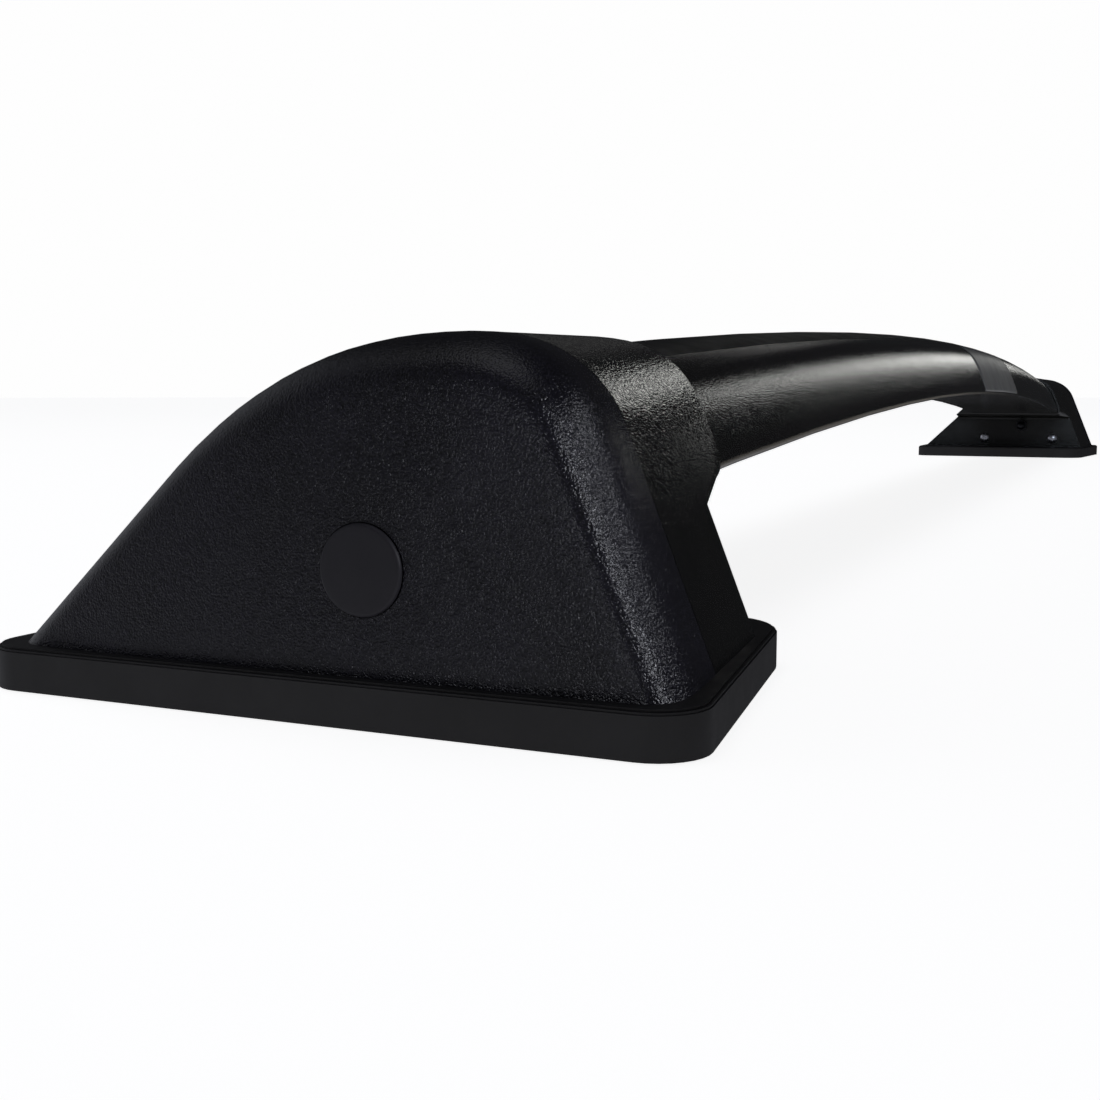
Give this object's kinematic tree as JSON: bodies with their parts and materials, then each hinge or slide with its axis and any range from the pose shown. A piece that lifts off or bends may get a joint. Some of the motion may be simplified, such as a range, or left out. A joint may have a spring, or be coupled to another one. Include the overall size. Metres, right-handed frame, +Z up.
{
  "type": "roof rack crossbar",
  "caption": "Arched aerofoil roof crossbar on moulded end feet with a long front slope, round plug caps and rubber gaskets, for carrying loads on a vehicle's roof",
  "frame": {"origin": "on the roof plane, midway between the two feet and midway across the gaskets", "axes": "+X along the bar away from the foot that is near in the picture, +Y across the bar toward the foot's long front slope, +Z up"},
  "size_m": [1.335, 0.1665, 0.0959],
  "materials": {
    "bar": "satin black coated extrusion",
    "strip": "matte soft strip",
    "leg": "black, coarse moulded grain",
    "cover": "blue-black, fine moulded grain",
    "cap": "smooth satin black",
    "gasket": "smooth matte black",
    "bracket": "zinc plated",
    "insert": "raw casting",
    "washer": "zinc plated",
    "bright_fastener": "bright zinc",
    "dark_fastener": "dark zinc",
    "dark_nut": "black oxide"
  },
  "bodies": {
    "root": {"crossbar": "bar", "top_strip": "strip", "left_leg": "leg", "left_cover": "cover", "left_gasket": "gasket", "left_bracket": "bracket", "left_bar_insert": "insert", "left_bar_screws": "dark_fastener", "left_bar_washers": "washer", "left_inner_screws": "bright_fastener", "left_cover_bolt": "dark_fastener", "left_cover_nut": "dark_nut", "right_leg": "leg", "right_cover": "cover", "right_gasket": "gasket", "right_bracket": "bracket", "right_bar_insert": "insert", "right_bar_screws": "dark_fastener", "right_bar_washers": "washer", "right_inner_screws": "bright_fastener", "right_cover_bolt": "dark_fastener", "right_cover_nut": "dark_nut"},
    "left_plug": {"left_cap": "cap"},
    "right_plug": {"right_cap": "cap"}
  },
  "joints": [
    {"name": "left_cap_pull", "type": "slide", "parent": "root", "child": "left_plug", "axis": [-1, 0, 0], "range_m": [0, 0.03]},
    {"name": "right_cap_pull", "type": "slide", "parent": "root", "child": "right_plug", "axis": [1, 0, 0], "range_m": [0, 0.03]}
  ]
}
